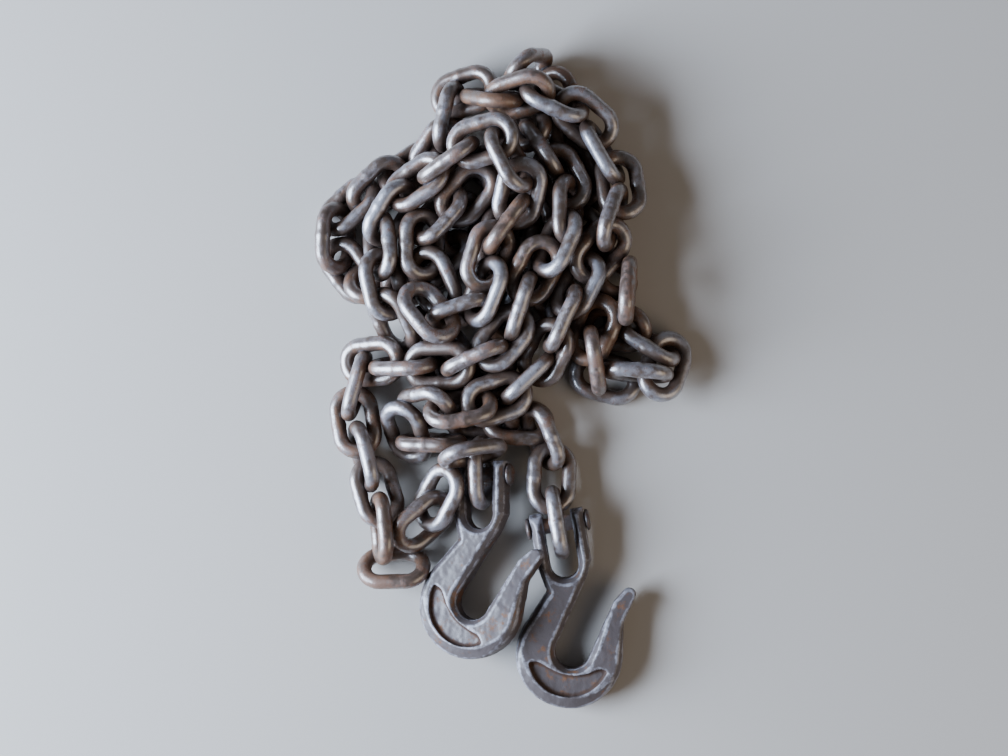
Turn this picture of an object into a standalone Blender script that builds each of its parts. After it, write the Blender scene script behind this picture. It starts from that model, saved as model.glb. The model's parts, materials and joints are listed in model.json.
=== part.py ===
"""A heap of iron chain: one chain of about a hundred links, with a clevis hook pinned to each end.

Metres, +Z up. The origin is on the floor, under the middle of the heap's box, and +Y points away
from the hooks. The links are laid along a chosen path and then let down on each other.
"""

import math

import bmesh
import bpy
import numpy as np
from mathutils import Euler, Matrix, Vector

# Links: round bar, bent to a long ring. The inside length is also the pitch of the tight chain.
BAR = 0.010
LINK_INSIDE = 0.029
LINK_WIDTH = 0.013
BAR_SIDES = 6
BOW_STEPS = 4
RUN_LINKS = 4
WORN = 0.0018
GAP = 0.0003

# How finely round shapes are made, in degrees, and how near two corners are welded.
ARC_STEP = 15
SMOOTH = 35
WELD = 0.00001

# Hooks: a fork with two ears, a neck that leans to the left, and a round bowl that ends in a beak.
# Places on a hook are measured from the middle of its pin, to the right and towards the ears.
HOOK_THICK = 0.018
EDGE = 0.003
EAR_REACH = 0.0178
SLOT_WIDTH = 0.018
SLOT_DEPTH = 0.035
WAIST_IN = 0.0033
WAIST_DOWN = 0.0065
NECK_IN = 0.0048
NECK_DOWN = 0.0015
BOWL = (-0.0070, -0.0845)
BOWL_OUTER = 0.035
THROAT = (-0.0045, -0.0825)
THROAT_RADIUS = 0.0112
BEAK = (0.0380, -0.0525)
BEAK_RADIUS = 0.0045
BEAK_FRONT = (-0.0110, -0.0030)
BEAK_BACK = (-0.0065, -0.0170)
BEAK_THICK = 0.010
BEAK_LEAN = math.radians(58)
TAPER_LENGTH = 0.040
TAPER_REACH = 0.014
RECESS_DEPTH = 0.003
RECESS_RIM = 0.0085
RECESS_LAND = 0.004
LEFT_RECESS = (150, 292)
RIGHT_RECESS = (180, 328)

# Clevis pins: round bars, riveted over outside the ears.
PIN = 0.010
PIN_PLAY = 0.0003
PIN_HEAD = 0.014
HEAD_THICK = 0.003
PIN_SIDES = 16

# Where the hooks lie: the left one's pin, the heading of each shank, and where the right one's
# bowl lies from the left one's. The left one's beak leans on the right one's ear.
LEFT_HOOK = (-0.0118, -0.0618)
LEFT_HEADING = math.radians(0)
RIGHT_HEADING = math.radians(9.6)
BOWLS_WAY = math.radians(-26.8)
BOWLS_APART = 0.0012
BEAK_OVER = 0.006
LINK_AHEAD = 0.0015

# The path: for each link its place in millimetres, right, away and up, and its roll in degrees
# from flat. It was chosen for links with an inside length of PATH_LINK and grows with them.
PATH_LINK = 0.029
PATH = (
    # from the left hook, round the loop beside it
    (-13, -64, 17, 0), (-25, -55, 30, 70), (-38, -80, 17, -20), (-52, -96, 20, 45),
    (-67, -117, 14, -40), (-79, -95, 18, 65), (-80, -71, 16, -10), (-92, -50, 17, 80),
    (-90, -27, 16, 0), (-97, -4, 18, 85), (-80, 11, 20, 20), (-60, 7, 30, -75),
    (-37, 5, 40, 0),
    # up the middle of the heap to its far end
    (-13, 10, 60, 90), (3, 29, 62, 0), (15, 48, 64, 90), (26, 70, 64, -15),
    (37, 88, 62, 50), (40, 109, 60, -75), (40, 128, 60, 0), (30, 148, 62, 90),
    (21, 173, 46, 20), (22, 196, 20, -40),
    # back down underneath, and out to the bulge on the right
    (37, 181, 17, -45), (44, 161, 22, 45), (52, 140, 24, -45), (53, 117, 24, 45),
    (57, 95, 22, -45), (70, 74, 22, 45), (83, 53, 30, 85), (62, 33, 36, 10),
    (62, 14, 30, 90), (69, 2, 14, 0), (88, 6, 24, 85), (104, 5, 16, 0),
    (93, 28, 16, 85),
    # hidden, inside the heap and along the floor to the left
    (74, 37, 15, 45), (53, 40, 15, -45), (37, 56, 15, 45), (30, 79, 15, -45),
    (22, 102, 15, 45), (9, 117, 15, -45), (-1, 95, 15, 45), (-2, 73, 15, -45),
    (3, 48, 15, 45), (1, 24, 15, -45), (-14, 3, 15, 45), (-36, -4, 15, -45),
    (-45, 14, 15, 45),
    # up the left side and over to the middle
    (-43, 29, 30, -45), (-66, 41, 24, 45), (-68, 64, 34, -45), (-78, 86, 36, 45),
    (-71, 109, 36, -45), (-51, 126, 42, 45), (-30, 139, 50, 75), (-8, 149, 52, -20),
    # down beside the middle strand
    (8, 142, 56, 60), (7, 118, 60, 0), (6, 95, 60, 85), (-9, 78, 58, 25),
    (-6, 58, 54, -45), (-25, 44, 48, 70), (-47, 43, 40, -15),
    # up once more and back down underneath
    (-41, 64, 32, 45), (-51, 85, 34, -45), (-41, 106, 36, 45), (-20, 123, 34, -45),
    (-15, 136, 26, 45), (-22, 122, 15, -45), (-30, 102, 15, 45), (-40, 82, 16, -45),
    (-58, 69, 16, 45),
    # round the left edge and across the far end
    (-79, 63, 16, -45), (-95, 76, 15, 45), (-108, 94, 15, -45), (-95, 113, 15, 45),
    (-77, 129, 17, -45), (-57, 141, 18, 45), (-39, 150, 18, 0), (-31, 163, 22, 85),
    (-23, 185, 26, 0), (-5, 182, 40, 80), (13, 184, 54, -25), (36, 181, 50, 60),
    # down the right edge
    (54, 167, 42, -20), (66, 147, 40, 90), (78, 125, 38, 0), (71, 103, 42, 90),
    (65, 82, 48, 35), (49, 59, 54, -30), (45, 37, 58, 90), (27, 17, 54, 0),
    (21, -2, 46, 90),
    # across the near end and back to the right hook
    (-2, -8, 44, 20), (-24, -16, 42, -60), (-47, -14, 36, 40), (-60, -32, 20, -45),
    (-39, -38, 18, 45), (-15, -29, 36, -45), (9, -29, 32, 45), (28, -35, 24, -65),
    (34, -59, 16, 10), (39, -85, 17, 0),
)

# Letting the chain down. Crossing strands are first drawn apart, to SPREAD bars, and then the
# links fall and are held to the path less and less. At the end only their contacts move them.
# Each step is rounded to so many digits, and what it compares to a few more, so that every
# computer gives the same heap.
STEPS = 1500
DIGITS = 7
FINE_DIGITS = 10
APART_UNTIL = 0.2
FALL_UNTIL = 0.8
FALL = 0.00006
KEEP_PLACE = 0.02
KEEP_TURN = 0.03
SPREAD = 2.1
LIFT = 0.4
CORNERS = 0.0012

# A link's moves in one step: how much of the mean push it takes, the longest way, as a share of
# the bar, the widest turn, and how far out its weight lies, as a share of its inside length.
EAGER = 1.7
LONGEST_MOVE = 0.1
WIDEST_TURN = 0.06
WEIGHT_OUT = 0.55

COLLECTION = "heap_of_iron_chain"


def frame_of(along, roll):
    """Unit vectors along a link, across it and square to it, rolled about its length from flat."""
    side = np.cross(along, (0, 0, 1))
    side /= np.linalg.norm(side, axis=1, keepdims=True)
    raised = np.cross(side, along)
    across = np.cos(roll)[:, None] * side + np.sin(roll)[:, None] * raised
    return np.stack([along, across, np.cross(along, across)], 2)


def hook_pose(place, heading, tilt):
    """The hook's matrix: its pin is held up by the link on it, and its bowl lies on the floor."""
    pin_up = BAR + PIN / 2 + 2 * GAP
    rim = arc(*BOWL, BOWL_OUTER - EDGE, 0, 360)
    under = [Vector((x, y, -HOOK_THICK / 2)) for x, y in rim]

    def pose(dip):
        stand = Matrix.Translation((*place, pin_up)) @ Matrix.Rotation(heading, 4, "Z")
        return stand @ Matrix.Rotation(dip, 4, "X") @ Matrix.Rotation(-tilt, 4, "Y")

    return pose(halved(lambda dip: min((pose(dip) @ point).z for point in under)))


def halved(height):
    """The angle at which a height that changes with it reaches zero."""
    low, high = math.radians(-30), math.radians(30)
    falling = height(low) > 0
    for _ in range(40):
        middle = (low + high) / 2
        if (height(middle) > 0) == falling:
            low = middle
        else:
            high = middle
    return low


def hook_poses():
    """Both hooks' matrices, with the left one tilted until its beak lies on the right one's ear."""
    apart = 2 * BOWL_OUTER + BOWLS_APART
    left, right = (
        np.array(Matrix.Rotation(heading, 2)) @ BOWL for heading in (LEFT_HEADING, RIGHT_HEADING)
    )
    place = LEFT_HOOK + left + apart * np.array((math.cos(BOWLS_WAY), math.sin(BOWLS_WAY))) - right
    lying = hook_pose(place, RIGHT_HEADING, 0)
    onto = lying.inverted()
    back = -Vector((math.cos(BEAK_LEAN), math.sin(BEAK_LEAN)))
    slope = (HOOK_THICK - BEAK_THICK) / 2 / TAPER_LENGTH

    def above(tilt):
        pose = onto @ hook_pose(LEFT_HOOK, LEFT_HEADING, tilt)
        under = (
            (*(Vector(BEAK) + run * back), -BEAK_THICK / 2 - run * slope)
            for run in (-BEAK_RADIUS, 0, BEAK_OVER)
        )
        return min((pose @ Vector(point)).z for point in under) - HOOK_THICK / 2 - GAP

    return hook_pose(LEFT_HOOK, LEFT_HEADING, halved(above)), lying


def hook_rods(pose):
    """The hook as round rods, which the links keep clear of: starts, lengths and radii."""
    mid_ear = (EAR_REACH + SLOT_WIDTH / 2) / 2
    ear = (EAR_REACH - SLOT_WIDTH / 2) / 2
    half = HOOK_THICK / 2
    rods = [
        ((side * mid_ear, half - 0.7 * ear, up), (side * mid_ear, -SLOT_DEPTH, up), ear)
        for side in (-1, 1)
        for up in (ear - half, 0, half - ear)
    ]
    thick = (BOWL_OUTER - THROAT_RADIUS) / 2
    ring = [(*point, 0) for point in arc(*BOWL, THROAT_RADIUS + thick, 150, 360)[::2]]
    rods.append(((0, -SLOT_DEPTH - half, 0), ring[0], half))
    rods += [(a, b, thick) for a, b in zip(ring, ring[1:])]
    rods.append((ring[-1], (*BEAK, 0), BEAK_THICK / 2))
    rods.append(((-EAR_REACH, 0, 0), (EAR_REACH, 0, 0), PIN / 2))
    tip = EAR_REACH + HEAD_THICK
    rods += [((way * EAR_REACH, 0, 0), (way * tip, 0, 0), PIN_HEAD / 2) for way in (-1, 1)]
    starts = np.array([pose @ Vector(a) for a, b, r in rods])
    ends = np.array([pose @ Vector(b) for a, b, r in rods])
    return starts, ends - starts, np.array([r for a, b, r in rods])


def bar_line():
    """Points round the middle of a link's bar: two half circles, joined by straight sides."""
    bow = (LINK_WIDTH + BAR) / 2
    turn = np.linspace(-math.pi / 2, math.pi / 2, BOW_STEPS + 1)
    half = (LINK_INSIDE - LINK_WIDTH) / 2
    end = np.stack([half + bow * np.cos(turn), bow * np.sin(turn), 0 * turn], 1)
    return np.concatenate([end, -end])


def dot(a, b):
    return np.einsum("ij,ij->i", a, b)


def unit(v):
    return v / np.linalg.norm(v, axis=1, keepdims=True)


def nearest(p, d, q, e):
    """The nearest points of the stretches p to p + d and q to q + e."""
    r = p - q
    dd, ee, de, dr, er = dot(d, d), dot(e, e), dot(d, e), dot(d, r), dot(e, r)
    flat = np.maximum(dd * ee - de * de, 1e-14)
    s = np.clip((de * er - dr * ee) / flat, 0, 1)
    t = (de * s + er) / ee
    held = np.clip(t, 0, 1)
    s = np.where(t != held, np.clip((held * de - dr) / dd, 0, 1), s)
    return p + s[:, None] * d, q + held[:, None] * e


def turned(frames, turn):
    """The frames after small rotations, given as vectors."""
    angle = np.linalg.norm(turn, axis=1, keepdims=True)
    x, y, z = (turn / np.maximum(angle, 1e-12)).T
    o = np.zeros_like(x)
    cross = np.array([[o, -z, y], [z, o, -x], [-y, x, o]]).transpose(2, 0, 1)
    s, c = np.sin(angle)[:, :, None], np.cos(angle)[:, :, None]
    matrix = np.eye(3) + s * cross + (1 - c) * np.einsum("nij,njk->nik", cross, cross)
    frames = np.einsum("nij,njk->nik", matrix, frames)
    along = unit(frames[:, :, 0])
    square = unit(np.cross(along, frames[:, :, 1]))
    return np.stack([along, np.cross(square, along), square], 2)


class Pushes:
    """What moves the links in one step: shifts and turns, added up over all their contacts."""

    def __init__(self, centres, free):
        self.centres = centres
        self.free = free
        self.shift = np.zeros_like(centres)
        self.turn = np.zeros_like(centres)
        self.count = np.zeros(len(centres))
        self.swing = (WEIGHT_OUT * LINK_INSIDE) ** 2

    def ease(self, link, arm):
        return self.free[link] * (1 + dot(arm, arm) / self.swing)

    def add(self, link, arm, way, size):
        size = (size * self.free[link])[:, None]
        np.add.at(self.shift, link, size * way)
        np.add.at(self.turn, link, size * arm / self.swing)
        np.add.at(self.count, link, 1)

    def between(self, one, at_one, two, at_two, lack):
        way = at_one - at_two
        way /= np.maximum(np.linalg.norm(way, axis=1), 1e-9)[:, None]
        arm = np.cross(at_one - self.centres[one], way)
        other = np.cross(at_two - self.centres[two], way)
        size = lack / np.maximum(self.ease(one, arm) + self.ease(two, other), 1e-9)
        self.add(one, arm, way, size)
        self.add(two, other, way, -size)

    def against(self, link, at, way, lack):
        arm = np.cross(at - self.centres[link], way)
        self.add(link, arm, way, lack / (1 + dot(arm, arm) / self.swing))


def start_of_chain(poses):
    """Every link on its place, along the path and rolled."""
    path = np.array(PATH)
    places = path[:, :3] * 0.001 * LINK_INSIDE / PATH_LINK
    along = np.empty_like(places)
    along[1:-1] = places[2:] - places[:-2]
    along[0], along[-1] = places[1] - places[0], places[-1] - places[-2]
    frames = frame_of(unit(along), np.radians(path[:, 3]))
    for link, pose, way in ((0, poses[0], 1), (-1, poses[1], -1)):
        across = np.array(pose.col[0].xyz)
        level = np.cross((0, 0, 1), across)
        level /= np.linalg.norm(level)
        upright = np.cross(across, level)
        lift = (LINK_WIDTH - PIN) / 2 - GAP
        places[link] = np.array(pose.translation) + LINK_AHEAD * level + lift * upright
        frames[link] = np.stack([way * level, upright, way * across], 1)
    return places, frames


def lay_chain(poses):
    """The links' centres and frames, once they lie on the floor, on the hooks and on each other."""
    places, start = start_of_chain(poses)
    count = len(places)
    centres, frames, line = places.copy(), start.copy(), bar_line()
    free = np.ones(count)
    free[[0, -1]] = 0
    one, two = np.triu_indices(count, 1)
    rods = [np.concatenate(values) for values in zip(*(hook_rods(pose) for pose in poses))]
    rod_at, rod_to, rod_thick = rods
    joined = (np.arange(count) + 1) % RUN_LINKS != 0
    next_gap = np.where(joined, BAR - WORN, BAR + GAP)
    spine = LINK_INSIDE - LINK_WIDTH
    for step in range(STEPS):
        done = step / STEPS
        apart = done < APART_UNTIL
        falling = APART_UNTIL <= done < FALL_UNTIL
        rest = (FALL_UNTIL - done) / (FALL_UNTIL - APART_UNTIL)
        bars = np.round(np.einsum("nij,sj->nsi", frames, line) + centres[:, None], FINE_DIGITS)
        sides = np.roll(bars, -1, axis=1) - bars
        push = Pushes(centres, free)
        if step % (2 if apart else 4) == 0:
            by = np.linalg.norm(centres[one] - centres[two], axis=1) < LINK_INSIDE + 3 * BAR
            first, second = one[by], two[by]
            loose = second - first > 1
            first_loose, second_loose = first[loose], second[loose]
            if apart:
                first, second = first[~loose], second[~loose]
            middle = bars + 0.5 * sides
            off = middle[first][:, :, None] - middle[second][:, None]
            pair, a, b = np.nonzero(np.einsum("pabi,pabi->pab", off, off) < (2.2 * BAR) ** 2)
            i, j = first[pair], second[pair]
            chained = j - i == 1
            room = np.where(chained, next_gap[i], BAR + GAP)
        if apart:
            lift_apart(push, centres, frames, places, first_loose, second_loose, spine)
        at_i, at_j = nearest(bars[i, a], sides[i, a], bars[j, b], sides[j, b])
        length = np.round(np.linalg.norm(at_i - at_j, axis=1), FINE_DIGITS)
        closest = np.full(count, np.inf)
        np.minimum.at(closest, i[chained], length[chained])
        tight = (length < room) | (chained & (length <= closest[i]))
        push.between(i[tight], at_i[tight], j[tight], at_j[tight], (room - length)[tight])
        off_rods(push, bars, sides, rod_at, rod_to, rod_thick)
        low, point = np.nonzero(bars[:, :, 2] < BAR / 2)
        up = np.tile((0.0, 0.0, 1.0), (len(low), 1))
        push.against(low, bars[low, point], up, BAR / 2 - bars[low, point, 2])
        share = EAGER / np.maximum(push.count, EAGER)
        shift, turn = push.shift * share[:, None], push.turn * share[:, None]
        keep = 2 if apart else rest if falling else 0
        sink = FALL * rest**0.7 if falling else 0
        shift[:, :2] += KEEP_PLACE * keep * (places - centres)[:, :2]
        shift[:, 2] -= sink
        lean = np.cross(frames[:, :, 0], start[:, :, 0])
        lean += 0.5 * np.cross(frames[:, :, 2], start[:, :, 2])
        turn += KEEP_TURN * keep * rest**falling * lean
        shift *= free[:, None] * short(shift, (1 + apart) * LONGEST_MOVE * BAR)
        turn *= free[:, None] * short(turn, WIDEST_TURN)
        centres = np.round(centres + shift, DIGITS)
        frames = np.round(turned(frames, turn), DIGITS)
    return centres, frames


def short(moves, most):
    """The factors that keep these moves under the given length."""
    length = np.linalg.norm(moves, axis=1, keepdims=True)
    return np.minimum(1, most / np.maximum(length, 1e-12))


def lift_apart(push, centres, frames, places, one, two, spine):
    """Parts crossing links upwards and downwards, so that none starts threaded through another."""
    a, b = spine * frames[one, :, 0], spine * frames[two, :, 0]
    at_one, at_two = nearest(centres[one] - a / 2, a, centres[two] - b / 2, b)
    off = at_one - at_two
    across = np.linalg.norm(off[:, :2], axis=1)
    room = np.sqrt(np.maximum(0, (SPREAD * BAR) ** 2 - across**2))
    above = np.where(places[one, 2] < places[two, 2], -1.0, 1.0)
    lack = np.round(room - above * off[:, 2], FINE_DIGITS)
    near = (lack > 0) & (across < SPREAD * BAR)
    lift = (np.minimum(lack, LIFT * BAR) * above / 2)[near]
    np.add.at(push.shift[:, 2], one[near], lift)
    np.add.at(push.shift[:, 2], two[near], -lift)
    np.add.at(push.count, one[near], 1)
    np.add.at(push.count, two[near], 1)


def off_rods(push, bars, sides, rod_at, rod_to, rod_thick):
    """Pushes the links off the hooks."""
    middle = rod_at + rod_to / 2
    by = np.abs(push.centres[:, None] - middle).max(2) < 2 * LINK_INSIDE
    link, rod = np.nonzero(by)
    count = bars.shape[1]
    point = np.tile(np.arange(count), len(link))
    link, rod = np.repeat(link, count), np.repeat(rod, count)
    at, on_rod = nearest(bars[link, point], sides[link, point], rod_at[rod], rod_to[rod])
    way = at - on_rod
    length = np.linalg.norm(way, axis=1)
    lack = np.round(rod_thick[rod] + BAR / 2 + CORNERS - length, FINE_DIGITS)
    hit = (lack > 0) & (push.free[link] > 0)
    push.against(link[hit], at[hit], (way / length[:, None])[hit], lack[hit])


def clear_scene():
    for thing in list(bpy.data.objects):
        bpy.data.objects.remove(thing, do_unlink=True)


def collection(name):
    made = bpy.data.collections.new(name)
    bpy.context.scene.collection.children.link(made)
    return made


def material(name, colour, roughness, metallic):
    made = bpy.data.materials.new(name)
    made.use_nodes = True
    shader = made.node_tree.nodes["Principled BSDF"]
    shader.inputs["Base Color"].default_value = (*colour, 1)
    shader.inputs["Roughness"].default_value = roughness
    shader.inputs["Metallic"].default_value = metallic
    made.diffuse_color = (*colour, 1)
    return made


def mesh_of(curve, name):
    """The mesh of a curve object, with its caps welded. The curve itself is removed."""
    graph = bpy.context.evaluated_depsgraph_get()
    mesh = bpy.data.meshes.new_from_object(curve.evaluated_get(graph))
    work = bmesh.new()
    work.from_mesh(mesh)
    bmesh.ops.remove_doubles(work, verts=work.verts, dist=WELD)
    bmesh.ops.recalc_face_normals(work, faces=work.faces)
    work.to_mesh(mesh)
    work.free()
    mesh.name = name
    bpy.data.objects.remove(curve, do_unlink=True)
    return mesh


def flat_curve(name, points, thick, edge=0.0):
    """A flat outline with thickness, and edges broken by a small slope."""
    data = bpy.data.curves.new(name, "CURVE")
    data.dimensions = "2D"
    data.fill_mode = "BOTH"
    data.extrude = thick / 2 - edge
    data.bevel_depth = edge
    data.bevel_resolution = 0
    data.offset = -edge
    spline = data.splines.new("POLY")
    spline.points.add(len(points) - 1)
    for point, (x, y) in zip(spline.points, points):
        point.co = (x, y, 0, 1)
    spline.use_cyclic_u = True
    curve = bpy.data.objects.new(name, data)
    bpy.context.scene.collection.objects.link(curve)
    return mesh_of(curve, name)


def arc(x, y, radius, start, end):
    """Points on an arc, with angles in degrees."""
    steps = math.ceil(abs(end - start) / ARC_STEP)
    return [
        (x + radius * math.cos(t), y + radius * math.sin(t))
        for t in np.radians(np.linspace(start, end, steps + 1))
    ]


def link_mesh():
    """One link, about its own centre and along X."""
    data = bpy.data.curves.new("link", "CURVE")
    data.dimensions = "3D"
    data.bevel_depth = BAR / 2
    data.bevel_resolution = BAR_SIDES // 2 - 2
    spline = data.splines.new("POLY")
    points = bar_line()
    spline.points.add(len(points) - 1)
    for point, co in zip(spline.points, points):
        point.co = (*co, 1)
    spline.use_cyclic_u = True
    curve = bpy.data.objects.new("link", data)
    bpy.context.scene.collection.objects.link(curve)
    return mesh_of(curve, "link")


def boolean(target, other, operation, cutters):
    """Cuts, joins or limits an object by another, which becomes a hidden helper."""
    step = target.modifiers.new(other.name, "BOOLEAN")
    step.operation = operation
    step.solver = "EXACT"
    step.object = other
    cutters.objects.link(other)
    other.hide_render = True
    other.display_type = "WIRE"


def without_pockets(mesh):
    """Fills the closed pockets that a join leaves between two worn links."""
    work = bmesh.new()
    work.from_mesh(mesh)
    left = set(work.faces)
    while left:
        shell, edge = set(), [left.pop()]
        while edge:
            face = edge.pop()
            shell.add(face)
            near = {other for line in face.edges for other in line.link_faces} & left
            left -= near
            edge += near
        inner = bmesh.new()
        for face in shell:
            inner.faces.new([inner.verts.new(corner.co) for corner in face.verts])
        if inner.calc_volume(signed=True) < 0:
            bmesh.ops.delete(work, geom=list(shell), context="FACES")
        inner.free()
    work.to_mesh(mesh)
    work.free()


def chain_runs(parts, centres, frames, finish):
    """The links, joined where they bear on each other within each run of the chain."""
    mesh = link_mesh()
    mesh.materials.append(finish)
    for first in range(0, len(centres), RUN_LINKS):
        name = f"chain_run_{first // RUN_LINKS + 1:02d}"
        links = []
        for centre, frame in list(zip(centres, frames))[first : first + RUN_LINKS]:
            link = bpy.data.objects.new(name, mesh)
            link.matrix_world = Matrix.Translation(centre) @ Matrix(frame.tolist()).to_4x4()
            bpy.context.scene.collection.objects.link(link)
            links.append(link)
        for other in links[1:]:
            step = links[0].modifiers.new(other.name, "BOOLEAN")
            step.operation = "UNION"
            step.solver = "EXACT"
            step.object = other
        graph = bpy.context.evaluated_depsgraph_get()
        joined = bpy.data.meshes.new_from_object(links[0].evaluated_get(graph))
        joined.transform(links[0].matrix_world)
        for link in links:
            bpy.data.objects.remove(link, do_unlink=True)
        without_pockets(joined)
        joined.shade_smooth()
        parts.objects.link(bpy.data.objects.new(name, joined))


def touch(point, circle, side):
    """The angle, in degrees, at which a line from this point touches a circle on one side."""
    x, y, radius = circle
    across, up = point[0] - x, point[1] - y
    spread = math.acos(radius / math.hypot(across, up))
    return math.degrees(math.atan2(up, across) + side * spread)


def hook_outline():
    """The hook from above: round the fork, down the neck, round the bowl and back up the throat."""
    slot = SLOT_WIDTH / 2
    top = HOOK_THICK / 2
    foot = slot - SLOT_DEPTH
    bowl = (*BOWL, BOWL_OUTER)
    throat = (*THROAT, THROAT_RADIUS)
    waist = (WAIST_IN - EAR_REACH, -SLOT_DEPTH - WAIST_DOWN)
    neck = (EAR_REACH - NECK_IN, -SLOT_DEPTH - NECK_DOWN)
    front = (BEAK[0] + BEAK_FRONT[0], BEAK[1] + BEAK_FRONT[1])
    back = (BEAK[0] + BEAK_BACK[0], BEAK[1] + BEAK_BACK[1])
    points = [(slot, top)] + arc(0, foot, slot, 0, -180)
    points += [(-slot, top), (-EAR_REACH, top), (-EAR_REACH, foot), waist]
    points += arc(*bowl, touch(waist, bowl, 1), touch(back, bowl, -1) + 360)
    points += [back] + arc(*BEAK, BEAK_RADIUS, -20, 130) + [front]
    points += arc(*throat, touch(front, throat, -1), touch(neck, throat, 1) - 360)
    return points + [neck, (EAR_REACH, foot), (EAR_REACH, top)]


def recess_outline(start, end):
    """The sunk crescent between the bowl's rim and the throat, between two angles."""
    points = arc(*BOWL, BOWL_OUTER - RECESS_RIM, start, end)
    return points + arc(*THROAT, THROAT_RADIUS + RECESS_LAND, end, start)


def hook(name, pose, recess, parts, cutters, finish):
    body = bpy.data.objects.new(name, flat_curve(name, hook_outline(), HOOK_THICK, EDGE))
    smooth(body.data)
    body.data.materials.append(finish)
    parts.objects.link(body)
    half, width = HOOK_THICK / 2, 4 * BOWL_OUTER
    far = 2 * (BOWL[1] - BOWL_OUTER)
    profile = flat_curve("side", arc(0, 0, half, 90, -90) + [(far, -half), (far, half)], width)
    profile.transform(Euler((math.pi / 2, 0, math.pi / 2)).to_matrix().to_4x4())
    side = bpy.data.objects.new(name + "_side", profile)
    hole = cylinder(name + "_hole", PIN / 2 + PIN_PLAY, width)
    steps = [(side, "INTERSECT"), (hole, "DIFFERENCE")]
    past = TAPER_LENGTH + 2 * BEAK_RADIUS
    drop = (HOOK_THICK - BEAK_THICK) / 2 * past / TAPER_LENGTH
    for face in (-1, 1):
        sunk = flat_curve("recess", recess_outline(*recess), 2 * RECESS_DEPTH)
        sunk.transform(Matrix.Translation((0, 0, face * half)))
        steps.append((bpy.data.objects.new(f"{name}_recess_{face}", sunk), "DIFFERENCE"))
        wedge = [(-past, face * (half + drop)), (past, face * (half - drop))]
        taper = flat_curve("taper", wedge + [(past, face * (half + drop))], 2 * TAPER_REACH)
        stand = Matrix.Translation((*BEAK, 0)) @ Matrix.Rotation(BEAK_LEAN, 4, "Z")
        stand = stand @ Matrix.Translation((-TAPER_LENGTH, 0, 0))
        taper.transform(stand @ Matrix.Rotation(math.pi / 2, 4, "X"))
        steps.append((bpy.data.objects.new(f"{name}_taper_{face}", taper), "DIFFERENCE"))
    for cutter, operation in steps:
        cutter.matrix_world = pose
        boolean(body, cutter, operation, cutters)
    body.matrix_world = pose


def smooth(mesh):
    """Smooth shading, with the edges of flat faces kept sharp."""
    mesh.shade_smooth()
    mesh.set_sharp_from_angle(angle=math.radians(SMOOTH))


def cylinder(name, radius, length):
    """A round bar along X, about its own middle."""
    work = bmesh.new()
    bmesh.ops.create_cone(
        work, cap_ends=True, segments=PIN_SIDES, radius1=radius, radius2=radius, depth=length
    )
    work.transform(Matrix.Rotation(math.pi / 2, 4, "Y"))
    mesh = bpy.data.meshes.new(name)
    work.to_mesh(mesh)
    work.free()
    smooth(mesh)
    return bpy.data.objects.new(name, mesh)


def pin(name, pose, parts, cutters, finish):
    """The clevis pin, riveted over outside both ears."""
    head_at = EAR_REACH + GAP
    body = cylinder(name, PIN / 2, 2 * head_at + HEAD_THICK)
    body.data.materials.append(finish)
    body.matrix_world = pose
    parts.objects.link(body)
    for side in (-1, 1):
        head = cylinder(f"{name}_head_{side}", PIN_HEAD / 2, HEAD_THICK)
        head.matrix_world = pose @ Matrix.Translation((side * (head_at + HEAD_THICK / 2), 0, 0))
        boolean(body, head, "UNION", cutters)


def centre(parts):
    """Puts the origin on the floor, under the middle of the heap's box."""
    graph = bpy.context.evaluated_depsgraph_get()
    points = []
    for part in parts.objects:
        mesh = part.evaluated_get(graph).data
        points += [part.matrix_world @ corner.co for corner in mesh.vertices]
    low, high = np.min(points, axis=0), np.max(points, axis=0)
    shift = Matrix.Translation((-(low[0] + high[0]) / 2, -(low[1] + high[1]) / 2, -low[2]))
    for thing in bpy.data.objects:
        thing.matrix_world = shift @ thing.matrix_world


def main():
    clear_scene()
    parts = collection(COLLECTION)
    cutters = collection("cutters")
    iron = material("chain_iron", (0.17, 0.13, 0.11), 0.55, 0.6)
    forged = material("hook_iron", (0.16, 0.14, 0.14), 0.5, 0.7)
    steel = material("pin_iron", (0.13, 0.11, 0.10), 0.6, 0.6)
    left, right = hook_poses()
    for side, pose, recess in (("left", left, LEFT_RECESS), ("right", right, RIGHT_RECESS)):
        hook(f"hook_{side}", pose, recess, parts, cutters, forged)
        pin(f"clevis_pin_{side}", pose, parts, cutters, steel)
    centres, frames = lay_chain((left, right))
    chain_runs(parts, centres, frames, iron)
    centre(parts)


main()
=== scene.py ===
"""The looks of a heap of iron chain with a clevis hook at each end, on a pale studio floor.

Every link, hook and pin is made here as a fine mesh, in the place where the CAD frame has it.
"""

import json
import math

import bmesh
import bpy
import numpy as np
from bpy.props import FloatProperty, FloatVectorProperty, IntProperty, PointerProperty
from mathutils import Euler, Matrix, Vector, noise

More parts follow.
